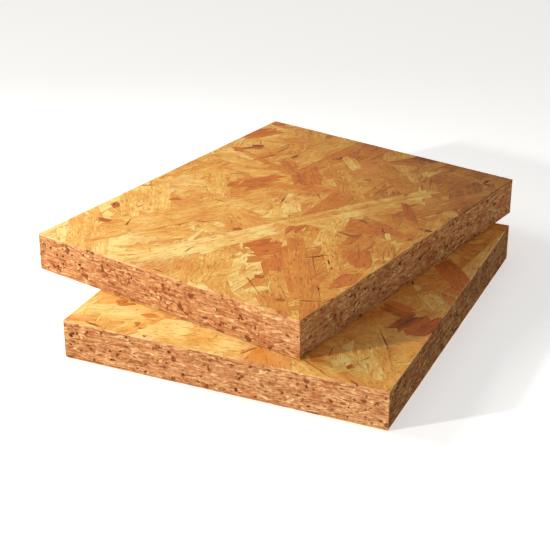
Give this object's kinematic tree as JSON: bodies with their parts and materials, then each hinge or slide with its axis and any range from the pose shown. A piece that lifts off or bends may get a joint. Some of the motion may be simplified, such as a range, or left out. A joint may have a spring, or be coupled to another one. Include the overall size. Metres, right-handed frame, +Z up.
{
  "type": "stack of oriented strand board panels",
  "caption": "Thick oriented strand board panels cut to sample size and stacked flat, the upper one set back and turned on the lower.",
  "frame": {"origin": "centre of the lower panel's underside, on the surface that it lies on", "axes": "+Z up through the stack, +Y along the lower panel's length, +X along its width, so that its near corner is at +X and -Y"},
  "size_m": [0.2232, 0.2667, 0.044],
  "materials": {
    "strand_board": "pressed softwood strands in resin, satin faces and rough sawn edges with small dark voids"
  },
  "bodies": {
    "root": {"lower_panel": "strand_board", "upper_panel": "strand_board"}
  },
  "joints": []
}
